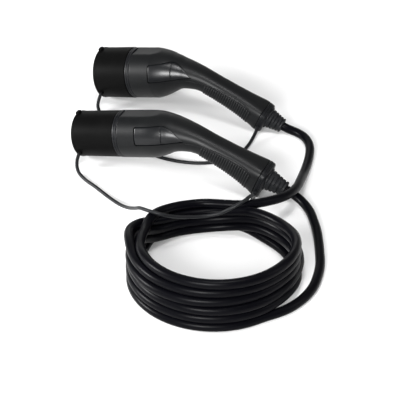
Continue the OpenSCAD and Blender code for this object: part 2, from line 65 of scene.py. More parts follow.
# Brings the places of caps, routes and coil, which are measured from one corner, into the frame
HOME = np.array([40.0, -317.0, 0.0])
CABLE_D = 11.4
TETHER_D = 4.4
# Size of the soft clouds of colour and gloss in every material
CLOUD_MM = 30.0
log = logging.getLogger("charging_cable")


# ---- Materials


class Pattern(Enum):
    """How a surface was made, which decides the fine pattern on it."""

    SPARKED = "spark-eroded mould grain"
    MOULDED = "smooth moulding"
    EXTRUDED = "extruded sheath"
    BRUSHED = "brushed metal"


def linear(hex_colour: str) -> tuple[float, ...]:
    """Turns an sRGB hex colour into the linear red, green, blue and alpha that sockets hold."""
    parts = [int(hex_colour[i : i + 2], 16) / 255 for i in (1, 3, 5)]
    return *(c / 12.92 if c <= 0.04045 else ((c + 0.055) / 1.055) ** 2.4 for c in parts), 1.0


def add_node(
    tree: NodeTree,
    kind: str,
    settings: dict[str | int, object] | None = None,
    links: dict[str | int, NodeSocket] | None = None,
) -> Node:
    """Adds one node, sets its values and links its inputs.

    Args:
        tree: the material's node tree.
        kind: the node's type name.
        settings: values by a socket's name or number, or by a property's name.
        links: output sockets by the name or number of the input that each one feeds.

    Returns:
        The new node.
    """
    node = tree.nodes.new(kind)
    for name, value in (settings or {}).items():
        if isinstance(name, int) or name in node.inputs:
            node.inputs[name].default_value = value
        else:
            setattr(node, name, value)
    for name, socket in (links or {}).items():
        tree.links.new(socket, node.inputs[name])
    return node


@dataclass(frozen=True)
class Finish:
    """One real material: its colours, its gloss and the size of its grain."""

    name: str
    colour: str
    cloud_colour: str
    roughness: tuple[float, float]
    grain_mm: float
    grain_depth_mm: float
    pattern: Pattern = Pattern.MOULDED
    metallic: float = 0.0
    mirror: float = 0.25
    glow: float = 0.0

    @cache
    def material(self) -> Material:
        """Makes the material once: close colours in soft clouds, gloss that follows them, grain.

        Returns:
            The material, the same one on each call.
        """
        material = bpy.data.materials.new(self.name)
        material.use_nodes = True
        tree = material.node_tree
        tree.nodes.clear()
        place = add_node(tree, "ShaderNodeTexCoord").outputs["Object"]
        clouds = {"Scale": 1000 / CLOUD_MM, "Detail": 3.0, "Roughness": 0.55}
        cloud = add_node(tree, "ShaderNodeTexNoise", clouds, {"Vector": place}).outputs["Fac"]
        # A mix's sockets for colour go by number: 6 and 7 in, 2 out, with the factor at 0
        colours = {"data_type": "RGBA", 6: linear(self.colour), 7: linear(self.cloud_colour)}
        tint = add_node(tree, "ShaderNodeMix", colours, {0: cloud}).outputs[2]
        low, high = self.roughness
        spread = {"From Min": 0.3, "From Max": 0.7, "To Min": low, "To Max": high}
        gloss = add_node(tree, "ShaderNodeMapRange", spread, {"Value": cloud}).outputs["Result"]
        relief = {"Strength": 1.0, "Distance": self.grain_depth_mm * MM}
        height = {"Height": self.grain(tree, place)}
        bump = add_node(tree, "ShaderNodeBump", relief, height).outputs["Normal"]
        looks = {
            "Metallic": self.metallic,
            "IOR": 1.5,
            "Specular IOR Level": self.mirror,
            "Emission Color": linear(self.colour),
            "Emission Strength": self.glow,
        }
        feeds = {"Base Color": tint, "Roughness": gloss, "Normal": bump}
        shader = add_node(tree, "ShaderNodeBsdfPrincipled", looks, feeds)
        add_node(tree, "ShaderNodeOutputMaterial", None, {"Surface": shader.outputs["BSDF"]})
        return material

    def grain(self, tree: NodeTree, place: NodeSocket) -> NodeSocket:
        """Adds the fine pattern that the surface's making leaves.

        Args:
            tree: the material's node tree.
            place: the coordinates that the pattern reads.

        Returns:
            The socket that carries the pattern's height.
        """
        scale = 1000 / self.grain_mm
        if self.pattern is Pattern.SPARKED:
            cells = {"Scale": scale, "feature": "SMOOTH_F1", "Smoothness": 0.7}
            pits = add_node(tree, "ShaderNodeTexVoronoi", cells, {"Vector": place})
            return pits.outputs["Distance"]
        if self.pattern is Pattern.BRUSHED:
            stretch = {"Scale": (1.0, 1.0, 0.06)}
            mapping = add_node(tree, "ShaderNodeMapping", stretch, {"Vector": place})
            place = mapping.outputs["Vector"]
        detail = {Pattern.EXTRUDED: 4.0, Pattern.BRUSHED: 2.0, Pattern.MOULDED: 1.5}[self.pattern]
        noise = {"Scale": scale, "Detail": detail}
        return add_node(tree, "ShaderNodeTexNoise", noise, {"Vector": place}).outputs["Fac"]


# Each finish: name, two close colours, least and most roughness, size and depth of its grain

# Glass-filled nylon from a spark-eroded mould: nearly black, with a broad soft shine
HOUSING_NYLON = Finish(
    "housing_nylon", "#070809", "#0a0b0c", (0.37, 0.44), 0.8, 0.012, Pattern.SPARKED, mirror=0.17
)
# The same nylon from a polished part of the mould: a clearer shine sets the inlay off
PANEL_NYLON = Finish("panel_nylon", "#08090b", "#0b0c0e", (0.27, 0.33), 2.0, 0.008, mirror=0.3)
# Soft-touch elastomer moulded over the handle: dull, its ribs show by their shadows
GRIP_ELASTOMER = Finish("grip_elastomer", "#0b0c0d", "#101112", (0.42, 0.5), 0.8, 0.02, mirror=0.12)
# Smooth nylon rings: a little lighter than the housing, with a thin highlight on each edge
COLLAR_NYLON = Finish("collar_nylon", "#0b0c0e", "#0f1012", (0.34, 0.42), 2.0, 0.008, mirror=0.14)
# Moulded rubber boot: charcoal, soft light on its rings and black between them
BOOT_RUBBER = Finish("boot_rubber", "#101113", "#151618", (0.42, 0.5), 0.9, 0.02, mirror=0.16)
# Moulded rubber cap: the blackest piece, matt, with hardly a reflection
CAP_RUBBER = Finish("cap_rubber", "#040404", "#070707", (0.4, 0.48), 1.2, 0.015, mirror=0.04)
# Extruded polyurethane sheath: deep black with a silky line of light along each turn
SHEATH_POLYURETHANE = Finish(
    "sheath_polyurethane", "#030305", "#050508", (0.3, 0.36), 2.4, 0.02,
    Pattern.EXTRUDED, mirror=0.045,
)
# Thin moulded cord: charcoal, lighter than the cable behind it
TETHER_RUBBER = Finish("tether_rubber", "#101113", "#141517", (0.4, 0.5), 1.2, 0.02, mirror=0.18)
# Moulding that holds the contacts: dull charcoal, so that the metal stands out
CONTACT_NYLON = Finish("contact_nylon", "#0d0e10", "#121315", (0.45, 0.55), 1.5, 0.02, mirror=0.15)
# Silver plate over copper alloy: warm bright metal with fine turned lines
CONTACT_SILVER = Finish(
    "contact_silver", "#d4d2cc", "#c4c1ba", (0.22, 0.34), 0.4, 0.01, Pattern.BRUSHED, metallic=1.0
)
# Silicone seal: matt brick red, the one warm colour on the nose
SEAL_SILICONE = Finish("seal_silicone", "#58281d", "#4d231a", (0.45, 0.6), 1.0, 0.02, mirror=0.15)
# Plain nylon of plates and clamps: mid grey and dull, as nobody looks inside
INNER_NYLON = Finish("inner_nylon", "#3a3c40", "#424448", (0.5, 0.6), 1.5, 0.03)
# Zinc-plated screws: cool grey metal with a soft shine
SCREW_ZINC = Finish(
    "screw_zinc", "#b4b6b8", "#a6a8ab", (0.3, 0.42), 0.4, 0.01, Pattern.BRUSHED, metallic=1.0
)
# Insulation of the cores: brown, as a live wire's, with a faint waxy shine
CORE_INSULATION = Finish(
    "core_insulation", "#6b3a22", "#5f3420", (0.4, 0.5), 1.5, 0.02, Pattern.EXTRUDED
)
# Photographer's paper: matt pale grey that turns white in the light; its glow lifts the shadows
FLOOR_PAPER = Finish(
    "floor_paper", "#d8d8d8", "#d6d6d6", (0.85, 0.9), 3.0, 0.01, mirror=0.0, glow=0.2
)
# What the CAD nodes inside a connector are dressed in, by a word in their names
INNER_FINISHES = {
    "contact_block": CONTACT_NYLON,
    "block_plate": INNER_NYLON,
    "_pin_": CONTACT_SILVER,
    "_sleeve_": CONTACT_SILVER,
    "_seal": SEAL_SILICONE,
    "saddle": INNER_NYLON,
    "bridge": INNER_NYLON,
    "screws": SCREW_ZINC,
    "cores": CORE_INSULATION,
    "sheath": SHEATH_POLYURETHANE,
}


# ---- Meshes


@dataclass
class Body:
    """Points in millimetres and the faces between them."""

    points: Array
    faces: list[list[int]]

    def joined(self, other: "Body") -> "Body":
        """Puts another body's points and faces behind these."""
        shift = len(self.points)
        moved = [[i + shift for i in f] for f in other.faces]
        return Body(np.vstack([self.points, other.points]), self.faces + moved)


def ring_body(rings: Array, closed: bool) -> Body:
    """Joins closed rings of points into one surface of quads.

    Args:
        rings: array of rings, points in a ring, and three coordinates.
        closed: True if the last ring joins the first; otherwise both ends get a flat face.

    Returns:
        The surface.
    """
    index = np.arange(rings.shape[0] * rings.shape[1]).reshape(rings.shape[:2])
    ends = [] if closed else index[[0, -1]].tolist()
    index = np.vstack([index, index[:1]]) if closed else index
    index = np.hstack([index, index[:, :1]])
    corners = [index[:-1, :-1], index[:-1, 1:], index[1:, 1:], index[1:, :-1]]
    quads = np.stack(corners, axis=-1).reshape(-1, 4).tolist()
    return Body(rings.reshape(-1, 3), quads + ends)


def around(sides: int) -> Array:
    """Lists even steps round a circle, in radians."""
    return np.arange(sides) * 2 * np.pi / sides


def about_x(x: Array, r: Numbers, angle: Array) -> Array:
    """Places points round the X axis, from their places along it, radii and angles."""
    return np.stack(np.broadcast_arrays(x, r * np.cos(angle), r * np.sin(angle)), axis=-1)


def turn_about(axis: int, degrees: float) -> Array:
    """Makes the matrix that turns points about the X, Y or Z axis, which go as 0, 1 and 2."""
    c, s = math.cos(math.radians(degrees)), math.sin(math.radians(degrees))
    matrix, others = np.eye(3), [(axis + 1) % 3, (axis + 2) % 3]
    matrix[np.ix_(others, others)] = [[c, -s], [s, c]]
    return matrix


def lathe(profile: Array, sides: int, closed: bool = False) -> Body:
    """Turns rows of place along X and radius about the X axis; closed rows make a ring."""
    return ring_body(about_x(profile[:, :1], profile[:, 1:], around(sides)), closed)


def rounded_profile(corners: list[Place]) -> Array:
    """Rounds the corners of a profile with short arcs: quadratic curves of five points.

    Args:
        corners: place along X, radius, and how far before and after the corner its arc reaches.

    Returns:
        Rows of place and radius.
    """
    place, reach = np.array(corners)[:, :2], np.array(corners)[1:-1, 2:]
    step = np.diff(place, axis=0)
    step /= np.linalg.norm(step, axis=1)[:, None]
    here, t = place[1:-1], np.linspace(0, 1, 5)[:, None, None]
    a, b = here - step[:-1] * reach, here + step[1:] * reach
    arcs = (1 - t) ** 2 * a + 2 * t * (1 - t) * here + t**2 * b
    return np.vstack([place[:1], arcs.swapaxes(0, 1).reshape(-1, 2), place[-1:]])


def signed_power(value: Array, power: Numbers) -> Array:
    """Raises a cosine or a sine to a power and keeps its sign."""
    return np.sign(value) * np.abs(value) ** power


def pillow_block(size: Place, squareness: float = 5.0) -> Body:
    """Makes a small block with soft edges: a sphere whose coordinates are raised to a low power.

    Args:
        size: length, width and height.
        squareness: how near the block comes to sharp edges.

    Returns:
        The block, with its middle at the origin.
    """
    polar, turn = np.linspace(-np.pi / 2, np.pi / 2, 17)[:, None], around(32)
    power = 2 / squareness
    flat = signed_power(np.cos(polar), power)
    x = flat * signed_power(np.cos(turn), power)
    y = flat * signed_power(np.sin(turn), power)
    z = signed_power(np.sin(polar), power)
    rings = np.stack(np.broadcast_arrays(x, y, z), axis=-1) * np.array(size) / 2
    return ring_body(rings, False)


def add_object(name: str, data: ID) -> Object:
    """Makes an object of a mesh, a curve, a light or a camera and links it to the scene."""
    made = bpy.data.objects.new(name, data)
    bpy.context.scene.collection.objects.link(made)
    return made


def make_object(name: str, body: Body, finish: Finish, sharp: float = 35.0) -> Object:
    """Turns a body into a Blender object with its place in its mesh.

    Args:
        name: the piece's name.
        body: the surface, in the CAD frame, in millimetres.
        finish: what it is made of.
        sharp: degrees from which a bent edge stays crisp.

    Returns:
        The object, with merged points and outward faces.
    """
    mesh = bpy.data.meshes.new(name)
    mesh.from_pydata(body.points * MM, [], body.faces)
    work = bmesh.new()
    work.from_mesh(mesh)
    bmesh.ops.remove_doubles(work, verts=work.verts, dist=1e-7)
    bmesh.ops.dissolve_degenerate(work, dist=1e-7, edges=work.edges)
    bmesh.ops.recalc_face_normals(work, faces=work.faces)
    work.to_mesh(mesh)
    work.free()
    finish_mesh(mesh, finish.material(), sharp)
    return add_object(name, mesh)


def finish_mesh(mesh: Mesh, material: Material, sharp: float) -> None:
    """Gives a mesh its material and its shading.

    Args:
        mesh: the mesh.
        material: its material.
        sharp: degrees from which a bent edge stays crisp.
    """
    mesh.materials.clear()
    mesh.materials.append(material)
    mesh.polygons.foreach_set("use_smooth", np.ones(len(mesh.polygons), bool))
    mesh.set_sharp_from_angle(angle=math.radians(sharp))
    mesh.update()


def cut(target: Object, tools: list[Object], sharp: float) -> None:
    """Cuts closed solids out of an object and keeps the result in its mesh.

    Args:
        target: the object to cut.
        tools: the solids, which are removed afterwards.
        sharp: degrees from which a bent edge stays crisp.
    """
    material = target.data.materials[0]
    for tool in tools:
        step = target.modifiers.new("cut", "BOOLEAN")
        step.operation = "DIFFERENCE"
        step.solver = "EXACT"
        step.object = tool
    bpy.context.view_layer.update()
    graph = bpy.context.evaluated_depsgraph_get()
    mesh = bpy.data.meshes.new_from_object(target.evaluated_get(graph))
    target.modifiers.clear()
    target.data = mesh
    mesh.name = target.name
    finish_mesh(mesh, material, sharp)
    for tool in tools:
        bpy.data.objects.remove(tool)


def cubic(u: Array, *ends: Array) -> Array:
    """Reads the cubic, at u from 0 to 1, with given start, slope there, end and slope there."""
    parts = 2 * u**3 - 3 * u**2 + 1, u**3 - 2 * u**2 + u, 3 * u**2 - 2 * u**3, u**3 - u**2
    return sum(part * value for part, value in zip(parts, ends))


def look_up(table: Table, x: Array) -> Array:
    """Reads a smooth curve through the rows of a table, by a cubic with centred slopes.

    Args:
        table: rows of place and value.
        x: the places wanted.

    Returns:
        The value at each place.
    """
    place, value = np.array(table).T
    row = np.arange(len(place))
    before, after = np.maximum(row - 1, 0), np.minimum(row + 1, row[-1])
    slope = (value[after] - value[before]) / (place[after] - place[before])
    i = np.clip(np.searchsorted(place[1:], x, side="left"), 0, row[-1] - 1)
    h = place[i + 1] - place[i]
    u = np.clip((x - place[i]) / h, 0, 1)
    return cubic(u, value[i], h * slope[i], value[i + 1], h * slope[i + 1])


def soft_min(a: Array, b: Numbers, soft: float) -> Array:
    """Takes the lesser of two values, with a rounded corner of the given size between them."""
    mix = np.clip(0.5 + 0.5 * (b - a) / soft, 0, 1)
    return b * (1 - mix) + a * mix - soft * mix * (1 - mix)


def reach_of(points: Array) -> Array:
    """Finds how far each point lies from the first, along their line."""
    gap = np.linalg.norm(np.diff(points, axis=0), axis=1)
    return np.r_[0, np.cumsum(gap)]


def length_of(points: Array) -> float:
    """Measures a line of points."""
    return float(reach_of(points)[-1])


def smooth_path(points: Array, spacing: float) -> Array:
    """Carries a smooth curve through points: a cubic through each pair, with centred slopes.

    Args:
        points: rows of three coordinates.
        spacing: distance between the points of the result.

    Returns:
        Rows of three coordinates, evenly spaced along the curve.
    """
    knot = reach_of(points)
    slope = np.gradient(points, knot, axis=0)
    fine = np.linspace(0, knot[-1], int(knot[-1] / 0.5) + 2)
    i = np.clip(np.searchsorted(knot, fine, side="right") - 1, 0, len(points) - 2)
    h = (knot[i + 1] - knot[i])[:, None]
    u = (fine - knot[i])[:, None] / h
    dense = cubic(u, points[i], h * slope[i], points[i + 1], h * slope[i + 1])
    reach = reach_of(dense)
    wanted = np.linspace(0, reach[-1], int(round(reach[-1] / spacing)) + 1)
    return np.stack([np.interp(wanted, reach, dense[:, k]) for k in range(3)], axis=1)


def tube(path: Array, radius: float, sides: int) -> Body:
    """Carries a circle along a path, turned upright at each point.

    Args:
        path: rows of three coordinates.
        radius: the circle's radius.
        sides: points round the circle.

    Returns:
        The tube, closed at both ends.
    """
    along = np.gradient(path, axis=0)
    along /= np.linalg.norm(along, axis=1)[:, None]
    across = np.cross([0.0, 0.0, 1.0], along)
    across /= np.linalg.norm(across, axis=1)[:, None]
    up = np.cross(along, across)
    angle = around(sides)[:, None]
    circles = np.cos(angle) * across[:, None] + np.sin(angle) * up[:, None]
    return ring_body(path[:, None] + radius * circles, False)


# ---- Connectors

# Distance from the corner between head and handle, and there the half sizes of the plug's
# housing over, under and beside its middle line
SIZES = np.array([
    (-52, 30, 30, 30), (-44, 29.6, 29.2, 29.6), (-36, 28.6, 27.2, 28.6), (-29, 27, 24.8, 27.2),
    (-22, 24.6, 22.4, 25.6), (-12, 20.4, 20.2, 23), (0, 16.8, 18.6, 20.4), (12, 14.8, 16.8, 18.2),
    (24, 14.2, 16, 17.2), (48, 15.4, 16.6, 17.2), (73, 17, 18.6, 18.4), (96, 18.2, 22.6, 20.2),
    (106, 18.2, 26.4, 20.6), (114, 16.8, 25.4, 19.4),
])
TOP_OF, UNDER_OF, SIDE_OF = (SIZES[:, [0, k]] for k in (1, 2, 3))
# How square the section is: 2 is round
SQUARE_OF = ((-52, 2), (0, 2.2), (40, 2.4), (80, 2.6), (104, 3.2), (114, 3))
# The head's diameter in these tables, where the round head ends, and the neck's length
TABLE_HEAD_D = 60.0
ROUND_TO, NECK_LEN = -52.0, 40.0
# Where the handle begins to narrow to its end, and over which length
NARROW_FROM, NARROW_LEN = 24.0, 80.0
BEND = 34.0
BEND_ANGLE = math.radians(BEND)
BEND_R = 80.0
HALF_BEND = BEND_R * BEND_ANGLE / 2
BEND_BACK = BEND_R * math.tan(BEND_ANGLE / 2)
WALL = 2.8
# Places round a section, in degrees, none of them on its corners
SECTION = (np.arange(160) + 0.5) * 360 / 160

COLLAR_LEN = 6.4
COLLAR_WALL = 4.2
CAP_GAP = 0.4
END_RING_LEN = 8.0
RING_GAP = 0.6
# The closing ring's outline: distance from its start or its end, and depth under the skin
RING_START = [(0, 0.6), (0.2, 0.2), (0.6, 0), (1.5, 0), (1.6, 0.4), (1.9, 0.4), (2, 0)]
RING_END = [
    (-3.4, 0), (-3.3, 0.4), (-3, 0.4), (-2.9, 0), (-2.4, 0), (-1.6, 0.15), (-0.9, 0.6),
    (-0.4, 1.3), (-0.1, 2.1), (0, 3), (0, 12), (-2.5, 12), (-2.5, 6),
]
EYE_BACK = 4.5
LUG_X = 6.4
GRIP_FROM, GRIP_TO = 22.0, 92.0
GRIP_RIBS = 22
RIB_HIGH = 0.8
# How far the grip climbs each side, in degrees from the middle of the handle's underside
GRIP_ARC_OF = (
    (-4, 87), (10, 92), (22, 101), (40, 113), (60, 119), (78, 118), (88, 109), (94, 90),
)
# Radius of the groove along the grip's border, and how far above the border it runs, in degrees
GRIP_LINE_R, GRIP_LINE_UP = 0.6, 2.2
# The gap round an inlay, the depth of its seat, and the length over which its border falls
SEAT_GAP, SEAT_DEPTH = 0.75, 2.1
PANEL_FALL = 31.0
PANEL_CORNER = 2.4
BOOT_TO_R = 9.8
BOOT_FLANGE = 2.0
BOOT_RINGS = 5
BOOT_GROOVE = 1.2
# How far above the floor the boot's flat underside stays
BOOT_CLEAR = 0.02


@dataclass
class Connector:
    """One connector in its own frame: X back along the plug axis from the cap's face, Z up.

    The corner is where the middle lines of head and handle would cross; a distance named d
    counts from there along the middle line, negative on the head.
    """

    name: str
    cap_d: float
    cap_len: float
    head_d: float
    corner: float
    grip_size: float
    pitch: float
    cap_at: tuple[float, float]
    head_flat: float
    handle_len: float
    handle_end: float
    boot_len: float
    boot_from_r: float
    panel_from: float
    panel_len: float
    panel_top: float
    panel_foot: float
    divider: float
    tether_route: tuple[Place, ...]
    yaw: float = -23.5
    cap_edge: float = 3.0
    lug_angle: float = -62.0
    lug_high: float = 2.4
    eye_angle: float = -74.0
    eye_high: float = 3.0

    @property
    def cap_body(self) -> str:
        """Name of the CAD body that the cap rides on."""
        return f"{self.name}_cap_body"

    @property
    def cap_height(self) -> float:
        """Height of the cap's middle over the floor, as it stands on its edge."""
        p = math.radians(self.pitch)
        r = self.cap_d / 2 - self.cap_edge
        return r * math.cos(p) + self.cap_edge - self.cap_edge * math.sin(p)

    def stand(self, points: Array) -> Array:
        """Turns points by the pitch, then by the yaw, and moves them to where the connector stands.

        Args:
            points: coordinates in the connector's frame, in the last axis.

        Returns:
            Coordinates in the CAD frame.
        """
        turn = turn_about(2, self.yaw) @ turn_about(1, -self.pitch)
        return points @ turn.T + (HOME + [*self.cap_at, self.cap_height])

    def placed(self, body: Body) -> Body:
        """Stands a body that was made in the connector's frame."""
        return Body(self.stand(body.points), body.faces)

    def slope(self, d: Array) -> Array:
        """Angle of the middle line at a distance from the corner, in radians."""
        return -BEND_ANGLE * np.clip((d + HALF_BEND) / (2 * HALF_BEND), 0, 1)

    def middle(self, d: Array) -> tuple[Array, Array]:
        """Finds the middle line: straight through the head, round an arc, straight down the handle.

        Args:
            d: distances from the corner, along the line.

        Returns:
            The X and Z coordinates.
        """
        s = self.slope(d)
        past = np.maximum(d - HALF_BEND, 0)
        short = np.minimum(d + HALF_BEND, 0)
        x = self.corner - BEND_BACK + short - BEND_R * np.sin(s) + past * math.cos(BEND_ANGLE)
        z = -BEND_R * (1 - np.cos(s)) - past * math.sin(BEND_ANGLE)
        return x, z

    def size(self, d: Array, table: Table) -> Array:
        """Half size of the section: the standard handle's, which grows to the head's."""
        blend = np.clip((d - ROUND_TO) / NECK_LEN, 0, 1)
        grow = self.head_d / TABLE_HEAD_D * (1 - blend) + self.grip_size * blend
        return np.where(d < ROUND_TO, self.head_d / 2, look_up(table, d) * grow)

    def skin(self, d: Array, angle: Array, inset: Numbers = 0.0) -> Array:
        """Finds points of the skin: a rounded square section carried along the middle line.

        The section is flat on top of the head, and flat underneath where it meets the floor.

        Args:
            d: distance from the corner.
            angle: place round the section, in degrees.
            inset: how far inside the skin the point lies.

        Returns:
            Coordinates in the connector's frame, in the last axis.
        """
        d, angle, inset = np.broadcast_arrays(d, angle, inset)
        d = d.astype(float)
        turn = np.radians(angle)
        sine, cosine = np.sin(turn), np.cos(turn)
        power = 2 / look_up(SQUARE_OF, np.maximum(d, ROUND_TO))
        narrowed = 1 - (1 - self.handle_end) * np.clip((d - NARROW_FROM) / NARROW_LEN, 0, 1)
        up = np.where(sine > 0, self.size(d, TOP_OF), self.size(d, UNDER_OF)) * narrowed - inset
        z = soft_min(up * signed_power(sine, power), self.head_flat - inset, 0.5)
        y = (self.size(d, SIDE_OF) - inset) * signed_power(cosine, power)
        mx, mz = self.middle(d)
        s = self.slope(d)
        x = mx - z * np.sin(s)
        p = math.radians(self.pitch)
        floor = (-self.cap_height - x * math.sin(p)) / math.cos(p)
        return np.stack([x, y, np.maximum(mz + z * np.cos(s), floor + inset)], axis=-1)

    def on_side(self, x: Array, z: Array, depth: Numbers, side: int) -> Array:
        """Finds the skin behind a point of the side view, by Newton's steps on distance and angle.

        Args:
            x: place along the plug axis.
            z: height.
            depth: how far inside the skin.
            side: 1 for the far side, -1 for the near side.

        Returns:
            Coordinates in the connector's frame.
        """
        x, z, depth = np.broadcast_arrays(x, z, depth)
        d = x - self.corner
        angle = np.degrees(np.arcsin(np.clip(z / (self.head_d / 2), -0.9, 0.9)))
        small, least, steps = 0.1, 1e-4, 12
        for _ in range(steps):
            here = self.skin(d, angle, depth)
            by_d = (self.skin(d + small, angle, depth) - here) / small
            by_a = (self.skin(d, angle + small, depth) - here) / small
            dx, dz = x - here[..., 0], z - here[..., 2]
            det = by_d[..., 0] * by_a[..., 2] - by_a[..., 0] * by_d[..., 2]
            det = np.where(np.abs(det) < least, least, det)
            d = d + np.clip((dx * by_a[..., 2] - dz * by_a[..., 0]) / det, -4, 4)
            angle = angle + np.clip((dz * by_d[..., 0] - dx * by_d[..., 2]) / det, -8, 8)
        found = self.skin(d, angle, depth)
        return np.stack([x, side * found[..., 1], z], axis=-1)

    def ride(self, piece: Object, node: str, body: str = "root") -> None:
        """Puts a piece on its body and hides the CAD node it stands for."""
        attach(piece, body)
        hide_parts(f"{self.name}_{node}")
        log.info("%s: %d faces", piece.name, len(piece.data.polygons))

    def housing(self) -> None:
        """Builds the shell of head and handle, less the inlays' seats and the grip's groove."""
        first = self.cap_len + CAP_GAP + COLLAR_LEN - self.corner + BEND_BACK - HALF_BEND
        last = self.handle_len - END_RING_LEN - RING_GAP
        even = np.linspace(first + 1.4, last - 0.9, 190)
        outer_d = np.r_[first, first + 0.3, first + 0.8, even, last - 0.5, last - 0.2, last]
        rolled = np.r_[0.7, 0.3, np.zeros(192), 0.15, 0.5]
        outer = self.skin(outer_d[:, None], SECTION, rolled[:, None])
        inner = self.skin(np.linspace(last, first, 30)[:, None], SECTION, WALL)
        shell = self.placed(ring_body(np.vstack([outer, inner]), True))
        piece = make_object(f"{self.name}_shell", shell, HOUSING_NYLON)
        cutters = [self.panel_body(side, SEAT_GAP, -4.0, SEAT_DEPTH, False) for side in (-1, 1)]
        # The groove begins at the inlay's tip and ends just behind the grip
        line_d = np.linspace(-3.5, GRIP_TO + 1.4, 70)
        near = 270 - look_up(GRIP_ARC_OF, line_d) - GRIP_LINE_UP
        cutters += [tube(self.skin(line_d, a), GRIP_LINE_R, 10) for a in (near, 180 - near)]
        tools = [make_object("cutter", self.placed(body), HOUSING_NYLON) for body in cutters]
        cut(piece, tools, 32.0)
        self.ride(piece, "housing")

    def panel_body(self, side: int, grow: float, outside: float, inside: float, fine: bool) -> Body:
        """Builds the part of the skin behind a panel's outline, between two depths.

        The upper border falls to the foot towards the back in a parabola.

        Args:
            side: 1 for the far side, -1 for the near side.
            grow: how far the outline is moved outwards.
            outside: depth of the outer face.
            inside: depth of the inner face.
            fine: True for the panel itself, with rolled edges and its dividing groove.

        Returns:
            The solid, in the connector's frame.
        """
        x0 = self.panel_from - grow
        x1 = self.panel_from + self.panel_len + grow
        top, foot = self.panel_top + grow, self.panel_foot - grow
        least_high, roll_deep, groove_deep, groove_wide = 1.2, 0.6, 0.5, 0.32
        # Columns crowd at both ends and at the groove, which bend most
        roll, inset = np.array([0.0, 0.25, 0.6, 1.1]), 1.6
        x = [x0 + roll, x0 + inset + (x1 - x0 - 2 * inset) * np.linspace(0, 1, 97), x1 - roll]
        if fine:
            x.append(self.divider + np.array([-0.9, -0.45, -0.3, 0, 0.3, 0.45, 0.9]))
        x = np.unique(np.concatenate(x))[:, None]
        fall = np.clip((x - (x1 - PANEL_FALL)) / PANEL_FALL, 0, 1)
        into = np.clip(PANEL_CORNER - (x - x0), 0, PANEL_CORNER)
        cut_off = PANEL_CORNER - np.sqrt(PANEL_CORNER**2 - into**2)
        high = np.maximum(top - (top - foot) * fall**2, foot + least_high) - cut_off
        low = foot + cut_off
        even = 0.06 + 0.88 * np.linspace(0, 1, 33)
        z = low + (high - low) * np.r_[0, 0.012, 0.035, even, 0.965, 0.988, 1]
        x = np.broadcast_to(x, z.shape)
        depth = np.full(z.shape, outside)
        if fine:
            rim = np.minimum.reduce([z - low, high - z, x - x0, x1 - x])
            depth = depth + roll_deep * np.clip(1 - rim, 0, 1) ** 2
            depth = depth + groove_deep * np.exp(-(((x - self.divider) / groove_wide) ** 2))
        outer = self.on_side(x, z, depth, side)
        inner = self.on_side(x, z, inside, side)
        return ring_body(np.hstack([outer, inner[:, ::-1]]), False)

    def panels(self) -> None:
        """Builds the two bare inlays on the sides of the head."""
        for side, word in ((1, "left"), (-1, "right")):
            inlay = self.placed(self.panel_body(side, 0.0, 0.35, 1.5, True))
            piece = make_object(f"{self.name}_inlay_{word}", inlay, PANEL_NYLON, 28.0)
            self.ride(piece, f"panel_{word}")

    def grip(self) -> None:
        """Builds the soft inlay: ribs across the handle, whose ends stand out as short teeth.

        A clipped cosine along the handle makes the ribs, and a square root rounds the border.
        """
        # How far the inlay runs on past its ribs and is rounded there, how deep its border and
        # its back lie, and how far it rises from its border
        past, rounding, border, back, rise = 1.2, 1.6, 0.9, 1.3, 1.15
        # Degrees that the border steps back between the ribs
        tooth = 3
        d = np.linspace(GRIP_FROM - past, GRIP_TO + past, 12 * GRIP_RIBS + 1)
        wave = 0.5 - 0.5 * np.cos((d - GRIP_FROM) * 2 * np.pi * GRIP_RIBS / (GRIP_TO - GRIP_FROM))
        wave = np.clip(wave * 1.2 - 0.1, 0, 1)[:, None]
        ends = np.clip((d - d[0]) / rounding, 0, 1) * np.clip((d[-1] - d) / rounding, 0, 1)
        arc = look_up(GRIP_ARC_OF, d)[:, None] - tooth * (1 - wave)
        v = np.linspace(-1, 1, 81)
        v = np.sign(v) * (1 - (1 - np.abs(v)) ** 1.25)
        angle = 270 + v * arc
        swell = np.clip((1 - np.abs(v)) * 12, 0, 1) * ends[:, None]
        height = rise * np.sqrt(swell) - border + RIB_HIGH * wave * swell
        outer = self.skin(d[:, None], angle, -height)
        inner = self.skin(d[:, None], angle, back)
        body = ring_body(np.hstack([outer, inner[:, ::-1]]), False)
        piece = make_object(f"{self.name}_soft_grip", self.placed(body), GRIP_ELASTOMER, 40.0)
        self.ride(piece, "grip")

    def end_ring(self) -> None:
        """Builds the closing ring: two fine grooves, a plate across its end, the tether's eye."""
        start, end = self.handle_len - END_RING_LEN, self.handle_len
        rows = np.vstack([np.add(RING_START, [start, 0]), np.add(RING_END, [end, 0]), [start, 6]])
        body = ring_body(self.skin(rows[:, :1], SECTION, rows[:, 1:]), True)
        eye = pillow_block((5.2, 5.2, 2 * self.eye_high))
        eye.points = eye.points @ turn_about(0, self.eye_angle).T + self.eye_place()
        body = self.placed(body.joined(eye))
        piece = make_object(f"{self.name}_closing_ring", body, COLLAR_NYLON, 30.0)
        self.ride(piece, "end_ring")

    def collar(self) -> None:
        """Turns the ring between cap and housing, with its fine groove."""
        x, end = self.cap_len + CAP_GAP, self.cap_len + CAP_GAP + COLLAR_LEN
        r = self.head_d / 2
        profile = rounded_profile([
            (x, r - COLLAR_WALL, 0), (x, r - 0.2, 0.7), (x + 2.5, r, 0.25),
            (x + 2.6, r - 0.7, 0.2), (x + 3.1, r - 0.7, 0.2), (x + 3.2, r, 0.25),
            (x + 5.6, r, 0.5), (end, r - 0.7, 0.2), (end, r - COLLAR_WALL, 0),
        ])
        ring = self.placed(lathe(profile, 128, True))
        piece = make_object(f"{self.name}_collar", ring, COLLAR_NYLON, 30.0)
        self.ride(piece, "front_collar")

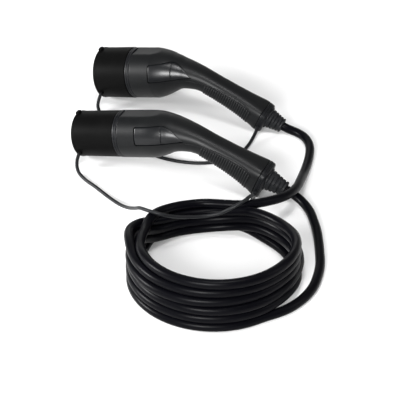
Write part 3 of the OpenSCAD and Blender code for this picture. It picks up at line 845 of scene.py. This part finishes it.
    def boot(self) -> None:
        """Builds the boot: a flange, and rings that shrink to the cable, joined by bridges.

        A clipped cosine along the handle makes the rings. The bridges change sides from groove
        to groove, and the underside is flat on the floor.
        """
        step, chamfer, rounding, lip = 1.2, 0.6, 1.2, 0.5
        edge, cable_r = self.boot_from_r, CABLE_D / 2
        first = edge - step
        x = np.linspace(0, self.boot_len, 141)[:, None]
        angle = around(96)
        phase = (x - BOOT_FLANGE) / ((self.boot_len - BOOT_FLANGE) / BOOT_RINGS)
        crest = first - (first - BOOT_TO_R) * np.clip(phase / (BOOT_RINGS - 1), 0, 1)
        wave = np.clip((0.5 - 0.5 * np.cos((phase - 0.1) * 2 * np.pi)) * 3.2, 0, 1)
        aside = np.where(np.floor(phase - 0.1 + 0.5).astype(int) % 2 == 0, 0.0, np.pi / 2)
        bridge = np.clip((np.abs(np.cos(angle - aside)) - 0.93) * 30, 0, 1)
        r = crest - BOOT_GROOVE * (1 - wave) * (1 - 0.85 * bridge)
        flange = np.minimum(edge, edge - (x - BOOT_FLANGE + 0.8) * 2.0)
        r = np.where(x < BOOT_FLANGE, flange, r)
        r[0] = edge - chamfer
        rounded = np.sqrt(np.clip((self.boot_len - x) / rounding, 0, 1))
        r = np.minimum(r, cable_r + lip + (r - cable_r - lip) * rounded)
        hole = about_x(np.array([[self.boot_len], [0.0]]), cable_r, angle)
        body = ring_body(np.concatenate([about_x(x, r, angle), hole]), True)
        mx, mz = self.middle(self.handle_len)
        body = self.placed(Body(body.points @ turn_about(1, BEND).T + [mx, 0, mz], body.faces))
        body.points[:, 2] = np.maximum(body.points[:, 2], BOOT_CLEAR)
        piece = make_object(f"{self.name}_bend_relief", body, BOOT_RUBBER, 40.0)
        self.ride(piece, "boot")

    def cap(self) -> None:
        """Turns the dust cap, flat in front, with its pull lip and the lug of the tether."""
        r, length = self.cap_d / 2, self.cap_len
        inner = self.head_d / 2 - COLLAR_WALL + 1.2
        front = np.linspace(0, 1, 9)[:-1, None] * [0, r - 4]
        outer = rounded_profile([
            (0, r - 4, 0), (0, r, 2.6), (3.6, r, 0.4), (4.2, r - 0.5, 0.3),
            (length - 0.2, r, 0.6), (length, r - 0.8, 0.2), (length, inner + 0.8, 0.2),
            (length - 2, inner + 0.8, 0.2), (length - 2.4, inner, 0.2), (4, inner, 1), (4, 0, 0),
        ])
        body = lathe(np.vstack([front, outer]), 144)
        lip = pillow_block((5.2, 9.0, 5.0), 4.5)
        lip.points = lip.points + [3.4, 0.0, r]
        lug = pillow_block((6.0, 5.6, 2 * self.lug_high + 1.0))
        lug.points = (lug.points + [LUG_X, 0.0, -r]) @ turn_about(0, self.lug_angle).T
        body = self.placed(body.joined(lip).joined(lug))
        piece = make_object(f"{self.name}_dust_cap", body, CAP_RUBBER, 30.0)
        self.ride(piece, "cap", self.cap_body)

    def lug_end(self, further: float) -> Array:
        """Finds a point below the cap's lug, along the lug's direction."""
        reach = self.cap_d / 2 + self.lug_high + further
        return self.stand(turn_about(0, self.lug_angle) @ [LUG_X, 0.0, -reach])

    def eye_place(self) -> Array:
        """Finds the middle of the ring's eye, on the skin."""
        return self.skin(self.handle_len - EYE_BACK, 270 + self.eye_angle)

    def eye_end(self, further: float) -> Array:
        """Finds a point in front of the ring's eye, along the eye's direction."""
        return self.stand(self.eye_place() + turn_about(0, self.eye_angle) @ [0.0, 0.0, -further])

    def tether(self) -> None:
        """Builds the tether as a tube on its route, from the cap's lug to the ring's eye."""
        route = np.array(self.tether_route) + HOME
        first, last = [self.lug_end(0.3), self.lug_end(7)], [self.eye_end(11), self.eye_end(3)]
        path = smooth_path(np.vstack([first, route, last]), 4.0)
        body = tube(path, TETHER_D / 2, 20)
        piece = make_object(f"{self.name}_cap_tether", body, TETHER_RUBBER, 50.0)
        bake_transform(piece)
        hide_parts(f"{self.name}_tether")
        log.info("%s: %.0f mm", piece.name, length_of(path))

    def exit_points(self) -> Array:
        """Finds where the cable leaves the boot, and a point straight behind that."""
        end = self.handle_len + self.boot_len
        mx, mz = self.middle(np.array([end, end + 4.0]))
        return self.stand(np.stack([mx, 0 * mx, mz], axis=-1))

    def inner_parts(self) -> None:
        """Dresses the CAD nodes inside the connector, which keep their own meshes."""
        for node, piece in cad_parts.items():
            words = [word for word in INNER_FINISHES if word in node]
            if node.startswith(self.name + "_") and words:
                piece.data.materials.clear()
                piece.data.materials.append(INNER_FINISHES[words[0]].material())

    def build(self) -> None:
        """Builds every piece of the connector in order."""
        self.housing()
        self.panels()
        self.grip()
        self.end_ring()
        self.collar()
        self.boot()
        self.cap()
        self.tether()
        self.inner_parts()


# The plug for the charging point, in front
PLUG = Connector(
    name="plug", cap_d=59, cap_len=60, head_d=60, corner=156, grip_size=1.0, pitch=13,
    cap_at=(-167, 286), head_flat=28.6, handle_len=111, handle_end=1.0, boot_len=26,
    boot_from_r=15, panel_from=92, panel_len=62, panel_top=20, panel_foot=-1, divider=127.5,
    tether_route=(
        (-171.5, 241, 7.2), (-169, 231, 4.2), (-160, 216, 2.4), (-147, 200, 2.2), (-130, 177, 2.4),
        (-114, 150, 8), (-102, 124, 20), (-93, 101, 34.5), (-86, 83, 46.5), (-77, 69, 52.5),
        (-65, 62.5, 52.5), (-54, 64.5, 48), (-43, 71, 42), (-29, 79, 36.5), (-12, 86.5, 32.5),
        (8, 87, 36.5), (23, 85, 46), (35.5, 89.5, 51.5), (43.5, 102, 50.5), (47.5, 116, 42.5),
        (49, 127, 31), (48.5, 136, 20), (47.5, 144, 13), (47.5, 151.5, 10.2),
    ),
)

# The coupler for the car, behind
COUPLER = Connector(
    name="coupler", cap_d=68, cap_len=48, head_d=67, corner=136, grip_size=0.95, pitch=11.8,
    cap_at=(-145, 440), head_flat=31.8, handle_len=114, handle_end=0.84, boot_len=22,
    boot_from_r=14.5, panel_from=83, panel_len=55, panel_top=22, panel_foot=1, divider=112.5,
    tether_route=(
        (-152.5, 394.5, 8.3), (-150.5, 384, 4.6), (-143, 363, 2.4), (-134, 343, 2.2),
        (-127, 330, 2.2), (-111, 308, 2.2), (-91, 287, 2.2), (-68, 270, 2.2), (-42, 259, 2.2),
        (-14, 255, 2.2), (14, 261, 2.2), (35, 277, 2.2), (48, 300, 3.2),
    ),
)


# ---- Cable

# Direction in degrees, anticlockwise from the right, then how far the stack has sunk there
SLIPPED = (
    (-90, 0), (-20, 0), (0, 0.03), (14, 0.13), (29, 0.32), (42, 0.42), (60, 0.54), (75, 0.8),
    (90, 0.98), (104, 1), (116, 0.95), (129, 0.86), (137, 0.75), (145, 0.4), (154, 0.14),
    (164, 0.03), (176, 0), (270, 0),
)
# The same directions, then how far the last turn but one and the last lie out, in millimetres
NEXT_LEAN = (
    (-90, 0), (0, -1.5), (42, -2), (80, 0), (120, 0), (134, 1.5), (146, 5), (157, 7.5),
    (168, 3.5), (180, -1), (200, -2), (225, -1), (250, 0), (270, 0),
)
TOP_LEAN = (
    (-90, -2), (-60, 0), (-30, 1), (0, -1), (42, -2), (70, 0), (90, 4), (98, 4), (112, 3.5),
    (126, 3), (138, 0), (148, -5), (158, -9.5), (168, -10.8), (180, -11), (200, -8.5),
    (225, -5), (250, -3), (270, -2),
)


def resting(gap: Array) -> Array:
    """Finds how high a turn lies over the one that holds it, from their distance sideways."""
    return np.sqrt(np.maximum(CABLE_D**2 - gap**2, 0))


@dataclass
class Cable:
    """The cable from boot to boot: a tail, the coil, and the other tail."""

    coil_r: float = 98.0
    turns: int = 6
    start_angle: float = 58.0
    last_angle: float = 262.0
    climb_from: float = -22.0
    climb_to: float = 42.0
    narrow: float = 0.97
    shift: float = 4.0
    stray: float = 1.3
    plug_route: tuple[Place, ...] = (
        (101.5, 167, 9.6), (109.5, 158, 7), (115, 147, 5.9), (118.5, 136, 5.7),
        (121.5, 118, 5.7), (124, 98, 5.7), (125, 74, 5.7), (125, 50, 5.7), (124, 26, 5.7),
        (120, 3, 5.7), (113, -20, 5.7), (102, -40, 5.7), (86, -58, 5.7),
    )
    coupler_route: tuple[Place, ...] = (
        (104, 330.5, 6.2), (112, 324.5, 5.7), (119.5, 315, 5.7), (124, 303.5, 5.7),
        (126, 289, 5.7), (124, 266, 5.7), (119, 240, 6.6), (113.5, 215, 10), (109, 193, 15.5),
        (104.5, 172, 21), (98.5, 154, 25.5), (90, 137, 30), (78, 122.5, 34), (62, 110, 37.6),
        (44, 100.5, 40.2),
    )

    def coil(self) -> Array:
        """Winds the coil clockwise, seen from above, as a slightly narrow ring.

        All turns climb one level in one sector on the right. The steps between neighbouring
        points are eased with a short weighted mean.

        Returns:
            Rows of three coordinates, from the coil's middle on the floor.
        """
        travel = np.arange(self.start_angle, 360 * (self.turns - 1) + self.last_angle, 5.0)
        local = (travel + 180) % 360 - 180
        climb = np.clip((local - self.climb_from) / (self.climb_to - self.climb_from), 0, 1)
        level = np.floor((travel + 180) / 360) - 1 + climb * climb * (3 - 2 * climb)
        low = np.clip(np.floor(level), 0, self.turns - 1).astype(int)
        part = np.clip(level - low, 0, 1)
        at_low = self.level_place(low, travel)
        at_high = self.level_place(np.minimum(low + 1, self.turns - 1), travel)
        weights = np.array([1, 2, 3, 2, 1]) / 9
        r, z = (
            np.r_[v[:2], np.convolve(v, weights, "valid"), v[-2:]]
            for v in ((1 - part) * a + part * b for a, b in zip(at_low, at_high))
        )
        theta = -np.radians(travel)
        x, y = self.narrow * r * np.cos(theta), r * np.sin(theta) + self.shift
        return np.stack([x, y, z], axis=1)

    def side(self, level: Array, travel: Array) -> Array:
        """Says how far outside the coil's radius a turn lies.

        The two lowest slip out at the back, the two highest lean in and out on the left, and
        the others stray a little.

        Args:
            level: number of the turn in the stack, from the floor.
            travel: direction from the coil's middle, in degrees, clockwise.

        Returns:
            The distance in millimetres.
        """
        place = (90 - travel) % 360 - 90
        back = look_up(SLIPPED, place)
        first, second = (CABLE_D * np.sqrt(1 - np.clip(n - 2 * back, 0, 1) ** 2) for n in (2, 1))
        leans = [look_up(table, place) for table in (NEXT_LEAN, TOP_LEAN)]
        own = np.choose(level, [first, second, 0 * back, 0 * back, *leans])
        loose = np.where(level >= self.turns - 2, 1.0, 1 - back) * (level >= 2)
        return own + self.stray * loose * np.sin(-2 * np.radians(travel) + 2.1 * level)

    def level_place(self, level: Array, travel: Array) -> tuple[Array, Array]:
        """Says how far out and how high a turn lies.

        The stack sinks where its lowest turns have slipped out, and each of the two highest
        turns rests on whichever turn below it holds it highest.

        Args:
            level: number of the turn in the stack, from the floor.
            travel: direction from the coil's middle, in degrees, clockwise.

        Returns:
            The distance from the coil's middle, and the height.
        """
        third, next_one, top = (self.side(np.array(self.turns - n), travel) for n in (3, 2, 1))
        next_rise = resting(next_one - third)
        top_rise = np.maximum(next_rise + resting(top - next_one), resting(top - third))
        slipped = (level >= 2) * 2 * CABLE_D * look_up(SLIPPED, (90 - travel) % 360 - 90)
        settled = np.choose(level, [0, 0, 0, 0, CABLE_D - next_rise, 2 * CABLE_D - top_rise])
        high = CABLE_D / 2 + level * CABLE_D - slipped - settled
        return self.coil_r + self.side(level, travel), high

    def path(self, plug: Connector, coupler: Connector) -> Array:
        """Joins both tails and the coil into one smooth line.

        Args:
            plug: the connector where the line starts.
            coupler: the connector where it ends.

        Returns:
            Rows of three coordinates in the CAD frame.
        """
        first = np.vstack([plug.exit_points(), np.array(self.plug_route) + HOME])
        last = np.vstack([coupler.exit_points(), np.array(self.coupler_route) + HOME])[::-1]
        return smooth_path(np.vstack([first, self.coil() + HOME, last]), 6.0)

    def build(self, plug: Connector, coupler: Connector) -> None:
        path = self.path(plug, coupler)
        curve = bpy.data.curves.new("charging_cable", "CURVE")
        curve.dimensions = "3D"
        curve.bevel_depth = CABLE_D / 2 * MM
        curve.bevel_resolution = 8
        curve.use_fill_caps = True
        spline = curve.splines.new("POLY")
        spline.points.add(len(path) - 1)
        flat = np.hstack([path * MM, np.ones((len(path), 1))])
        spline.points.foreach_set("co", flat.ravel())
        spline.use_smooth = True
        curve.materials.append(SHEATH_POLYURETHANE.material())
        piece = add_object("charging_cable", curve)
        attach(piece, "root")
        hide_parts("cable_coil", "cable_plug_tail", "cable_coupler_tail")
        log.info("cable: %.0f mm, %d points", length_of(path), len(path))


# ---- Studio


@dataclass(frozen=True)
class Lamp:
    """A soft box that points at the object: sizes in metres, power in watts."""

    name: str
    at: Place
    aim_high: float
    width: float
    height: float
    power: float

    def hang(self) -> None:
        """Makes the light."""
        data = bpy.data.lights.new(self.name, "AREA")
        data.shape = "RECTANGLE"
        data.size, data.size_y = self.width, self.height
        data.energy = self.power
        aim = (Vector((0.0, -0.1, self.aim_high)) - Vector(self.at)).to_track_quat("-Z", "Y")
        lamp = add_object(self.name, data)
        lamp.matrix_world = Matrix.Translation(self.at) @ aim.to_matrix().to_4x4()


# A wide soft light from above, small strong ones that draw clear highlights on the black, and
# weak ones that part the far edges from each other
LAMPS = (
    Lamp("top", (0.1, 0.35, 1.5), 0.0, 2.2, 1.2, 2.0),
    Lamp("front", (-0.44, -1.86, 0.86), 0.05, 0.7, 0.5, 60.0),
    Lamp("above", (0.12, -0.5, 1.6), 0.05, 0.5, 0.45, 15.0),
    Lamp("back", (-0.3, 1.9, 0.75), 0.05, 1.6, 0.5, 4.5),
    Lamp("left", (-1.63, -0.21, 0.5), 0.03, 0.5, 0.35, 48.0),
    Lamp("right", (1.7, -0.4, 0.9), 0.03, 0.6, 1.0, 6.0),
)


@dataclass
class Studio:
    """Pale floor, soft lights, and the camera at the photograph's angle; lengths in metres."""

    floor_half: float = 6.0
    floor_z: float = -0.0002
    sky_strength: float = 0.3
    camera_at: Place = (0.0244, -1.9414, 1.1666)
    camera_tilt: float = 57.0
    lens: float = 156.06
    far_limit: float = 20.0

    def build(self) -> None:
        """Makes the floor, the lights, the sky and the camera."""
        mesh = bpy.data.meshes.new("floor")
        s, z = self.floor_half, self.floor_z
        mesh.from_pydata([(-s, -s, z), (s, -s, z), (s, s, z), (-s, s, z)], [], [(0, 1, 2, 3)])
        mesh.materials.append(FLOOR_PAPER.material())
        add_object("floor", mesh)
        for lamp in LAMPS:
            lamp.hang()
        world = bpy.data.worlds.new("studio")
        world.use_nodes = True
        sky = world.node_tree.nodes["Background"]
        sky.inputs["Color"].default_value = (1.0, 1.0, 1.0, 1.0)
        sky.inputs["Strength"].default_value = self.sky_strength
        bpy.context.scene.world = world
        bpy.context.scene.view_settings.view_transform = "Standard"
        data = bpy.data.cameras.new("camera")
        data.lens = self.lens
        data.clip_end = self.far_limit
        camera = add_object("camera", data)
        camera.location = self.camera_at
        camera.rotation_euler = (math.radians(self.camera_tilt), 0.0, 0.0)
        bpy.context.scene.camera = camera


def main() -> None:
    """Builds the studio, both connectors and the cable."""
    logging.basicConfig(level=logging.INFO, format="%(name)s: %(message)s")
    Studio().build()
    PLUG.build()
    COUPLER.build()
    Cable().build(PLUG, COUPLER)


if __name__ == "__main__":
    main()
